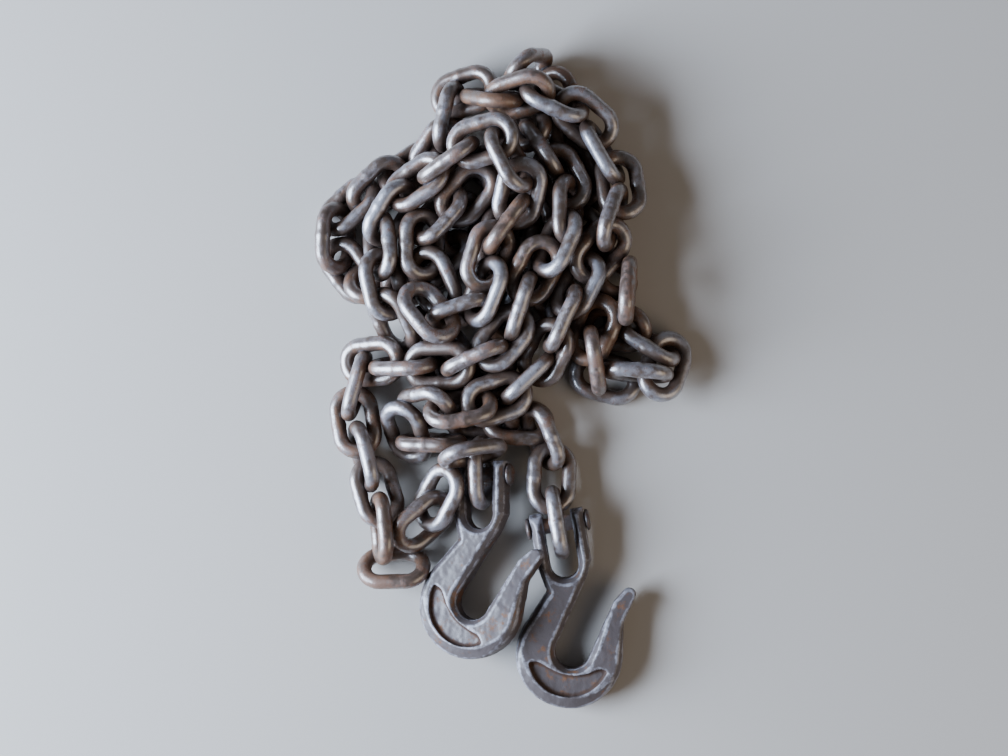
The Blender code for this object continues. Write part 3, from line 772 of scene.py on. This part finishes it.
class Graph:
    """The node tree of one material."""

    def __init__(self, name):
        self.material = bpy.data.materials.new(name)
        self.material.use_nodes = True
        self.tree = self.material.node_tree
        self.place = self.node("ShaderNodeTexCoord", output="Object")

    def put(self, socket, value):
        """Links a value to a socket, or sets the socket to a number or colour."""
        if isinstance(value, Value):
            self.tree.links.new(value.socket, socket)
        else:
            socket.default_value = value

    def node(self, kind, settings=None, inputs=None, output=0):
        """A new node's output, with its settings made first and its sockets filled after."""
        made = self.tree.nodes.new(kind)
        for name, value in (settings or {}).items():
            setattr(made, name, value)
        for name, value in (inputs or {}).items():
            self.put(made.inputs[name], value)
        return Value(self, made.outputs[output])

    def math(self, operation, *values):
        return self.node("ShaderNodeMath", {"operation": operation}, dict(enumerate(values)))

    def attribute(self, name):
        return self.node("ShaderNodeAttribute", {"attribute_name": name}, output="Fac")

    def noise(self, scale, detail=4.0, rough=0.55):
        inputs = {"Vector": self.place, "Scale": scale, "Detail": detail, "Roughness": rough}
        return self.node("ShaderNodeTexNoise", None, inputs)

    def mixed(self, share, one, two):
        """One colour where the share is 0, the other where it is 1."""
        inputs = {0: share, 6: one, 7: two}
        return self.node("ShaderNodeMix", {"data_type": "RGBA"}, inputs, output=2)

    def bump(self, height, distance, strength):
        inputs = {"Height": height, "Distance": distance, "Strength": strength}
        return self.node("ShaderNodeBump", None, inputs)

    def finish(self, **inputs):
        """Fills the shader's sockets and gives the material."""
        shader = self.tree.nodes["Principled BSDF"]
        for name, value in inputs.items():
            self.put(shader.inputs[name.replace("_", " ")], value)
        return self.material


def iron_material(name, look, skin, rust_bias=0.0, polish=0.0, dull=0.0):
    """Old iron: a dull skin, rubbed bare where proud; rust and painted shade where sheltered.

    More rust_bias gives more rust, more polish more bare iron, and dull takes off the shine.
    """
    graph = Graph(name)
    # The first attribute holds painted shade, between the parts and under them, together with old
    # rust there.
    shelter, worn, tone = (graph.attribute(word) for word in ("shelter", "worn", "tone"))
    patches = graph.noise(60.0, 5.0, 0.62)
    blotches = graph.noise(210.0, 4.0, 0.6)
    grain = graph.noise(1100.0, 3.0, 0.65)
    rust_at = patches * 0.45 + blotches * 0.40 + grain * 0.18 + tone * 0.035 + shelter * 0.08
    rust_at = rust_at + (rust_bias + 0.30 * (look.rust_amount - 0.5))
    rusty = (rust_at - worn * 0.30).rising(0.50, 0.60)
    # Less bare iron where painted shade falls, so the sheltered places stay dark.
    bare = patches * 0.4 + blotches * 0.45 + grain * 0.15 + worn * 0.8 - shelter * 0.4
    bare = (bare - tone * 0.03 + polish).rising(0.42, 0.60)
    metal = graph.mixed(bare, (*skin, 1), (*look.iron, 1))
    crust = graph.mixed(rusty * 0.8, metal, (*look.rust, 1))
    # old is the mask of dark old rust and painted shade in crevices and underneath; it also dulls
    # the metal and the coat there.
    old = (shelter * 0.95 + blotches * 0.35).rising(0.32, 0.95)
    return graph.finish(
        Base_Color=graph.mixed(old * 0.92, crust, (*look.shade_and_old_rust, 1)),
        Metallic=(1 - rusty * 0.75) * (1 - old * 0.8) * (0.35 - 1.8 * dull),
        Roughness=rusty * 0.2 + grain * 0.3 + 0.27 - bare * 0.06 + old * 0.2 + dull,
        Coat_Weight=(1 - rusty * 0.7) * (1 - old * 0.9) * (look.sheen - 5 * dull),
        Coat_Roughness=0.30,
        Specular_IOR_Level=0.5 - 2.4 * dull,
        Coat_IOR=2.4,
        Normal=graph.bump(blotches * 0.6 + grain * 0.4, 0.0010, 0.8 - 2.5 * dull),
    )


def edges_of(made):
    return [part for part in made if isinstance(part, bmesh.types.BMEdge)]


def link_template(chain):
    """One link about its own middle: a ring spun round each bow and drawn out along each side."""
    bow = (LINK_WIDTH + BAR) / 2
    half = (LINK_INSIDE - LINK_WIDTH) / 2
    work = bmesh.new()
    bmesh.ops.create_circle(work, segments=chain.bar_sides, radius=BAR / 2)
    upright = Matrix.Translation((half, -bow, 0)) @ Matrix.Rotation(math.pi / 2, 4, "Y")
    bmesh.ops.transform(work, matrix=upright, verts=work.verts)
    ring = work.edges[:]
    for end in (half, -half):
        turn = {"cent": (end, 0, 0), "axis": (0, 0, 1), "angle": math.pi}
        made = bmesh.ops.spin(work, geom=ring, steps=chain.bow_faces, **turn)
        ring = edges_of(made["geom_last"])
        for _ in range(chain.side_faces):
            ring = edges_of(bmesh.ops.extrude_edge_only(work, edges=ring)["geom"])
            corners = list({corner for edge in ring for corner in edge.verts})
            bmesh.ops.translate(work, vec=(-2 * end / chain.side_faces, 0, 0), verts=corners)
    bmesh.ops.remove_doubles(work, verts=work.verts, dist=CLOSE)
    return finished(work, "link")


def finished(work, name):
    """The bmesh as a mesh with its faces outwards."""
    bmesh.ops.recalc_face_normals(work, faces=work.faces)
    mesh = bpy.data.meshes.new(name)
    work.to_mesh(mesh)
    work.free()
    return mesh


def places(mesh):
    """A mesh's points as rows."""
    values = np.empty(3 * len(mesh.vertices))
    mesh.vertices.foreach_get("co", values)
    return values.reshape(-1, 3)


def nearest_on_link(points):
    """The nearest points on a link's centre line, all in that link's own frame."""
    bow = (LINK_WIDTH + BAR) / 2
    half = (LINK_INSIDE - LINK_WIDTH) / 2
    centre = np.clip(points[..., 0], -half, half)
    across = np.stack([points[..., 0] - centre, points[..., 1]], -1)
    length = np.maximum(np.linalg.norm(across, axis=-1, keepdims=True), 1e-9)
    foot = bow * across / length
    return np.stack([centre + foot[..., 0], foot[..., 1], 0 * centre], -1)


def step_up(values, low, high):
    """0 below the first value, 1 above the second, and a smooth step between."""
    share = np.clip((values - low) / (high - low), 0, 1)
    return share * share * (3 - 2 * share)


def uneven(points, chain, rng):
    """One link's points with a weld in one side and shallow dents, in the link's own frame."""
    foot = nearest_on_link(points)
    out = (points - foot) / (BAR / 2)
    wave = np.zeros(len(points))
    for _ in range(WAVES):
        way = rng.normal(size=3) * WAVE_COUNT
        wave += np.sin(points @ way + rng.random() * 2 * math.pi)
    side = (1 if rng.random() < 0.5 else -1) * (LINK_WIDTH + BAR) / 2
    off = np.hypot(foot[:, 0] - rng.normal() * WELD_STRAY, foot[:, 1] - side)
    rise = chain.weld_height * np.exp(-2 * (off / chain.weld_width) ** 2)
    rise += chain.dents * (wave / WAVES - 0.8)
    return points + out * rise[:, None], out


def bedded(one, points, outward, centres, frames, chain):
    """One link's points pressed clear of its neighbours, their painted shade, and how rubbed they
    are.
    """
    radius = BAR / 2
    apart = np.linalg.norm(centres - centres[one], axis=1)
    move = np.zeros_like(points)
    shade, rub = np.zeros(len(points)), np.zeros(len(points))
    ahead = points + outward * 0.6 * chain.shelter_reach
    for other in np.nonzero((apart < LINK_INSIDE + 3 * BAR) & (apart > 0))[0]:
        place = (points - centres[other]) @ frames[other]
        off = place - nearest_on_link(place)
        far = np.linalg.norm(off, axis=1)
        push = np.maximum(radius - far, 0) / 2
        move += (off / np.maximum(far, CLOSE)[:, None] * push[:, None]) @ frames[other].T
        if abs(other - one) == 1:
            rub = np.maximum(rub, 1 - step_up(far, radius, radius + WORN / 2))
        # Painted shade: a point whose outer side faces a neighbour close by is darkened.
        before = (ahead - centres[other]) @ frames[other]
        reach = np.linalg.norm(before - nearest_on_link(before), axis=1)
        shade += 1 - step_up(reach, 0.8 * radius, radius + chain.shelter_reach)
    # Painted shade under the link: points that face down near the floor.
    floor = np.clip(-outward[:, 2], 0, 1) * (1 - step_up(points[:, 2], 0.0, BAR))
    return points + move, np.clip((shade + floor) / 1.6, 0, 1), rub


def within(points):
    """The points, kept inside the CAD model's box."""
    return np.clip(points, *CAD_BOX)


def store(mesh, **values):
    """Keeps a value for each point, under its name, for the material to read."""
    for name, value in values.items():
        attribute = mesh.attributes.new(name, "FLOAT", "POINT")
        attribute.data.foreach_set("value", np.asarray(value, dtype=np.float32))


def add_piece(name, mesh, material, node):
    """A finished piece on the heap's one body, in place of its CAD node."""
    mesh.materials.clear()
    mesh.materials.append(material)
    mesh.shade_smooth()
    piece = bpy.data.objects.new(name, mesh)
    bpy.context.scene.collection.objects.link(piece)
    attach(piece, "root")
    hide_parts(node)


def cad_shift():
    """From the hooks' own origin to the frame's, where the heap is centred on its box."""
    pin = np.mean([np.array(corner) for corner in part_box("clevis_pin_right")], axis=0)
    return pin - np.array(hook_poses()[1].translation)


class HEAP_OT_lay_chain(bpy.types.Operator):
    """Make every link of the chain where it lies in the heap"""

    bl_idname = "heap.lay_chain"
    bl_label = "Lay the chain"

    def execute(self, context):
        chain, look = context.scene.heap_chain, context.scene.heap_look
        centres, frames = lay_chain(hook_poses())
        centres = centres + cad_shift()
        template = link_template(chain)
        smooth = places(template)
        iron = iron_material("chain_iron_look", look, look.skin)
        rng = np.random.default_rng(SEED)
        for number, (centre, frame) in enumerate(zip(centres, frames)):
            local, out = uneven(smooth, chain, rng)
            points, shelter, worn = bedded(
                number, local @ frame.T + centre, out @ frame.T, centres, frames, chain
            )
            name = f"chain_link_{number + 1:03d}"
            mesh = template.copy()
            mesh.name = name
            mesh.vertices.foreach_set("co", within(points).ravel())
            # Per point: painted shade with old rust, wear, and one random tone for the whole link.
            store(mesh, shelter=shelter, worn=worn, tone=np.full(len(points), rng.normal()))
            node = f"chain_run_{number // RUN_LINKS + 1:02d}"
            add_piece(name, mesh, iron, node)
        bpy.data.meshes.remove(template)
        return {"FINISHED"}


def solid(name, curve_mesh, transform=None):
    """A helper object for a Boolean."""
    if transform is not None:
        curve_mesh.transform(transform)
    made = bpy.data.objects.new(name, curve_mesh)
    bpy.context.scene.collection.objects.link(made)
    return made


def evaluated_mesh(thing):
    """A mesh with the object's modifiers applied."""
    graph = bpy.context.evaluated_depsgraph_get()
    return bpy.data.meshes.new_from_object(thing.evaluated_get(graph))


def crescent(start, end, step):
    """The outline of the sunk crescent in the bowl's face, drawn out at both ends."""
    outer = np.array(arc(*BOWL, BOWL_OUTER - RECESS_RIM, start, end, step))
    inner = np.array(arc(*THROAT, THROAT_RADIUS + RECESS_LAND, start, end, step))
    wide = np.sin(np.linspace(0, math.pi, len(outer)))[:, None] ** RECESS_BELLY
    return [*outer, *(outer + wide * (inner - outer))[-2:0:-1]]


def slope_cutter(face, width):
    """What is cut off along the bowl's outer edge: a triangle, spun off the bowl's middle."""
    aside = SLOPE_ASIDE * width
    start, end = (math.radians(degrees) for degrees in SLOPE_ARC)
    inner, outer = BOWL_OUTER + aside - width, BOWL_OUTER + 2 * aside
    high, low = HOOK_THICK / 2 + GAP, HOOK_THICK / 2 - (outer - inner) / 2
    work = bmesh.new()
    profile = ((inner - 2 * GAP, high), (outer, low), (outer, high))
    corners = [
        work.verts.new((r * math.cos(start), r * math.sin(start), face * z)) for r, z in profile
    ]
    work.faces.new(corners)
    turn = {"cent": (0, 0, 0), "axis": (0, 0, 1), "angle": end - start}
    whole = work.verts[:] + work.edges[:] + work.faces[:]
    bmesh.ops.spin(work, geom=whole, steps=SLOPE_STEPS, **turn)
    middle = (start + end) / 2
    away = Vector((-aside * math.cos(middle), -aside * math.sin(middle), 0))
    bmesh.ops.translate(work, vec=Vector((*BOWL, 0)) + away, verts=work.verts)
    return solid("slope", finished(work, "slope"))


def forged_hook(name, recess, hook):
    """One hook as a fine mesh about its own pin, with softened edges."""
    half, width = HOOK_THICK / 2, 4 * BOWL_OUTER
    body = solid(name, flat_curve(name, hook_outline(hook.arc_step), HOOK_THICK, hook.edge))
    far = 2 * (BOWL[1] - BOWL_OUTER)
    profile = arc(0, 0, half, 90, -90, hook.arc_step) + [(far, -half), (far, half)]
    on_side = Euler((math.pi / 2, 0, math.pi / 2)).to_matrix().to_4x4()
    steps = [(solid("side", flat_curve("side", profile, width), on_side), "INTERSECT")]
    past = TAPER_LENGTH + 2 * BEAK_RADIUS
    drop = (HOOK_THICK - BEAK_THICK) / 2 * past / TAPER_LENGTH
    stand = Matrix.Translation((*BEAK, 0)) @ Matrix.Rotation(BEAK_LEAN, 4, "Z")
    stand = stand @ Matrix.Translation((-TAPER_LENGTH, 0, 0)) @ Matrix.Rotation(math.pi / 2, 4, "X")
    for face in (-1, 1):
        lift = Matrix.Translation((0, 0, face * half))
        steps.append((slope_cutter(face, hook.slope), "DIFFERENCE"))
        sunk = flat_curve("recess", crescent(*recess, hook.arc_step), 2 * RECESS_DEPTH)
        steps.append((solid("recess", sunk, lift), "DIFFERENCE"))
        wedge = [(-past, face * (half + drop)), (past, face * (half - drop))]
        taper = flat_curve("taper", wedge + [(past, face * (half + drop))], 2 * TAPER_REACH)
        steps.append((solid("taper", taper, stand), "DIFFERENCE"))
    for cutter, operation in steps:
        step = body.modifiers.new(cutter.name, "BOOLEAN")
        step.operation, step.solver, step.object = operation, "EXACT", cutter
    grain = body.modifiers.new("grain", "REMESH")
    grain.mode, grain.voxel_size = "VOXEL", hook.voxel
    soft = body.modifiers.new("soft", "SMOOTH")
    soft.factor, soft.iterations = 0.5, hook.soften
    mesh = evaluated_mesh(body)
    if not mesh.polygons:
        raise RuntimeError(f"{name} came out empty: its edge slope is too wide")
    for thing in [body] + [cutter for cutter, operation in steps]:
        bpy.data.objects.remove(thing, do_unlink=True)
    return mesh


def bends(mesh):
    """How far each point stands proud of its neighbours: above 0 on edges, below 0 in hollows."""
    count = len(mesh.vertices)
    points, normals = places(mesh), np.empty(count * 3)
    mesh.vertices.foreach_get("normal", normals)
    normals = normals.reshape(-1, 3)
    ends = np.empty(len(mesh.edges) * 2, dtype=np.int32)
    mesh.edges.foreach_get("vertices", ends)
    one, two = np.concatenate([ends.reshape(-1, 2), ends.reshape(-1, 2)[:, ::-1]]).T
    number = np.bincount(one, minlength=count)

    def averaged(values):
        return np.bincount(one, values[two], count) / number

    mean = np.stack([averaged(column) for column in points.T], 1)
    proud = np.einsum("ij,ij->i", points - mean, normals)
    for _ in range(3):
        proud = (proud + averaged(proud)) / 2
    return points, normals, proud


def lumps(points):
    """The unevenness of a forging at each of its points."""
    coarse, fine = LUMPS
    at = map(Vector, points)
    return np.array([noise.noise(p * coarse) + FINE_LUMPS * noise.noise(p * fine) for p in at])


class HEAP_OT_forge_hooks(bpy.types.Operator):
    """Make both hooks"""

    bl_idname = "heap.forge_hooks"
    bl_label = "Forge the hooks"

    def execute(self, context):
        hook, look = context.scene.heap_hook, context.scene.heap_look
        shift = cad_shift()
        finish = {"rust_bias": -0.02, "polish": -0.20, "dull": 0.15}
        iron = iron_material("hook_iron_look", look, look.hook_skin, **finish)
        made = (("left", LEFT_RECESS), ("right", RIGHT_RECESS))
        for (side, recess), pose in zip(made, hook_poses()):
            name = f"forged_hook_{side}"
            mesh = forged_hook(name, recess, hook)
            points, normals, proud = bends(mesh)
            points = points + normals * (hook.dents * (lumps(points) - 1))[:, None]
            turn = np.array(pose.to_3x3())
            points = points @ turn.T + np.array(pose.translation) + shift
            mesh.vertices.foreach_set("co", within(points).ravel())
            # Painted shade: the hook's underside and its hollows, such as the recess, are darkened;
            # the hollows also get old rust.
            under = np.clip(-(normals @ turn.T)[:, 2], 0, 1) * UNDER_SHADE
            shelter = np.clip(-proud * BEND_SCALE, 0, 1) + under
            worn = np.clip(proud * BEND_SCALE, 0, MOST_WEAR)
            store(mesh, worn=worn, shelter=shelter, tone=0 * proud)
            add_piece(name, mesh, iron, f"hook_{side}")
        return {"FINISHED"}


def riveted_pin(name):
    """A pin with a hammered head at each end: half its outline, spun about X and mirrored."""
    half = EAR_REACH + GAP + HEAD_THICK
    neck = half - HEAD_THICK
    work = bmesh.new()
    outline = [(0.0, PIN / 2), (neck, PIN / 2)]
    outline += [(neck + along, PIN_HEAD / 2 - inward) for along, inward in HEAD_FOOT]
    outline += [(half - along, PIN_HEAD / 2 - inward) for along, inward in HEAD_CROWN]
    outline += [(half, PIN_HEAD / 4), (half, 0.0)]
    corners = [work.verts.new((x, r, 0)) for x, r in outline]
    for one, two in zip(corners, corners[1:]):
        work.edges.new((one, two))
    turn = {"cent": (0, 0, 0), "axis": (1, 0, 0), "angle": 2 * math.pi, "use_merge": True}
    bmesh.ops.spin(work, geom=work.verts[:] + work.edges[:], steps=PIN_STEPS, **turn)
    half_pin = work.verts[:] + work.edges[:] + work.faces[:]
    bmesh.ops.mirror(work, geom=half_pin, axis="X", merge_dist=CLOSE)
    bmesh.ops.remove_doubles(work, verts=work.verts, dist=CLOSE)
    return finished(work, name)


class HEAP_OT_drive_pins(bpy.types.Operator):
    """Make the riveted clevis pins"""

    bl_idname = "heap.drive_pins"
    bl_label = "Drive the pins"

    def execute(self, context):
        look = context.scene.heap_look
        iron = iron_material("pin_iron_look", look, look.hook_skin, polish=-0.1, dull=0.1)
        shift = Matrix.Translation(cad_shift())
        for side, pose in zip(("left", "right"), hook_poses()):
            name = f"riveted_pin_{side}"
            mesh = riveted_pin(name)
            mesh.transform(shift @ pose)
            even = np.ones(len(mesh.vertices))
            # An even value of painted shade and old rust, which darkens the whole pin.
            store(mesh, worn=0.1 * even, shelter=0.4 * even, tone=0.3 * even)
            add_piece(name, mesh, iron, f"clevis_pin_{side}")
        return {"FINISHED"}


class HEAP_OT_set_stage(bpy.types.Operator):
    """Add the floor, the light and the camera"""

    bl_idname = "heap.set_stage"
    bl_label = "Set the stage"

    def execute(self, context):
        scene, stage = context.scene, context.scene.heap_stage
        work = bmesh.new()
        bmesh.ops.create_grid(work, x_segments=2, y_segments=2, size=stage.floor_size / 2)
        mesh = bpy.data.meshes.new("floor")
        work.to_mesh(mesh)
        work.free()
        floor = bpy.data.objects.new("floor", mesh)
        scene.collection.objects.link(floor)
        graph = Graph("floor_look")
        colour = graph.mixed(graph.noise(3.0) * 0.12, (*stage.floor, 1), FLOOR_STAIN)
        mesh.materials.append(graph.finish(Base_Color=colour, Roughness=0.85))
        self.light("key", KEY_PLACE, stage.key_power, KEY_COLOUR)
        self.light("fill", FILL_PLACE, stage.fill_power, FILL_COLOUR)
        world = bpy.data.worlds.new("studio")
        world.use_nodes = True
        back = world.node_tree.nodes["Background"]
        back.inputs["Color"].default_value = SKY_COLOUR
        back.inputs["Strength"].default_value = stage.sky
        scene.world = world
        camera = bpy.data.cameras.new("camera")
        camera.lens = stage.lens
        camera.sensor_width = 36.0
        holder = bpy.data.objects.new("camera", camera)
        holder.matrix_world = facing_heap(stage.camera_place)
        scene.collection.objects.link(holder)
        scene.camera = holder
        return {"FINISHED"}

    def light(self, name, place, power, colour):
        """A square lamp that shines on the heap."""
        lamp = bpy.data.lights.new(name, "AREA")
        lamp.size = LAMP_SIZE
        lamp.energy = power
        lamp.color = colour
        holder = bpy.data.objects.new(name, lamp)
        holder.matrix_world = facing_heap(place)
        bpy.context.scene.collection.objects.link(holder)


def facing_heap(place):
    """The matrix of a camera or a lamp that stands at this place and looks at the heap's middle."""
    back = Vector(place).normalized()
    right = Vector((0, 1, 0)).cross(back).normalized()
    turn = Matrix((right, back.cross(right), back)).transposed().to_4x4()
    return Matrix.Translation(place) @ turn


class HEAP_PT_panel(bpy.types.Panel):
    """The heap's settings and steps"""

    bl_label = "Heap of iron chain"
    bl_idname = "HEAP_PT_panel"
    bl_space_type = "VIEW_3D"
    bl_region_type = "UI"
    bl_category = "Chain"

    def draw(self, context):
        for word in GROUPS:
            box = self.layout.box()
            settings = getattr(context.scene, word)
            for name in settings.__annotations__:
                box.prop(settings, name)
        for operator in OPERATORS:
            self.layout.operator(operator.bl_idname)


GROUPS = {
    "heap_chain": ChainSettings,
    "heap_hook": HookSettings,
    "heap_look": LookSettings,
    "heap_stage": StageSettings,
}
OPERATORS = (HEAP_OT_lay_chain, HEAP_OT_forge_hooks, HEAP_OT_drive_pins, HEAP_OT_set_stage)
CLASSES = (*GROUPS.values(), *OPERATORS, HEAP_PT_panel)


def register():
    for made in CLASSES:
        bpy.utils.register_class(made)
    for word, group in GROUPS.items():
        setattr(bpy.types.Scene, word, PointerProperty(type=group))


def unregister():
    for word in GROUPS:
        delattr(bpy.types.Scene, word)
    for made in reversed(CLASSES):
        bpy.utils.unregister_class(made)


def main():
    register()
    for operator in OPERATORS:
        section, name = operator.bl_idname.split(".")
        getattr(getattr(bpy.ops, section), name)()


if __name__ == "__main__":
    main()
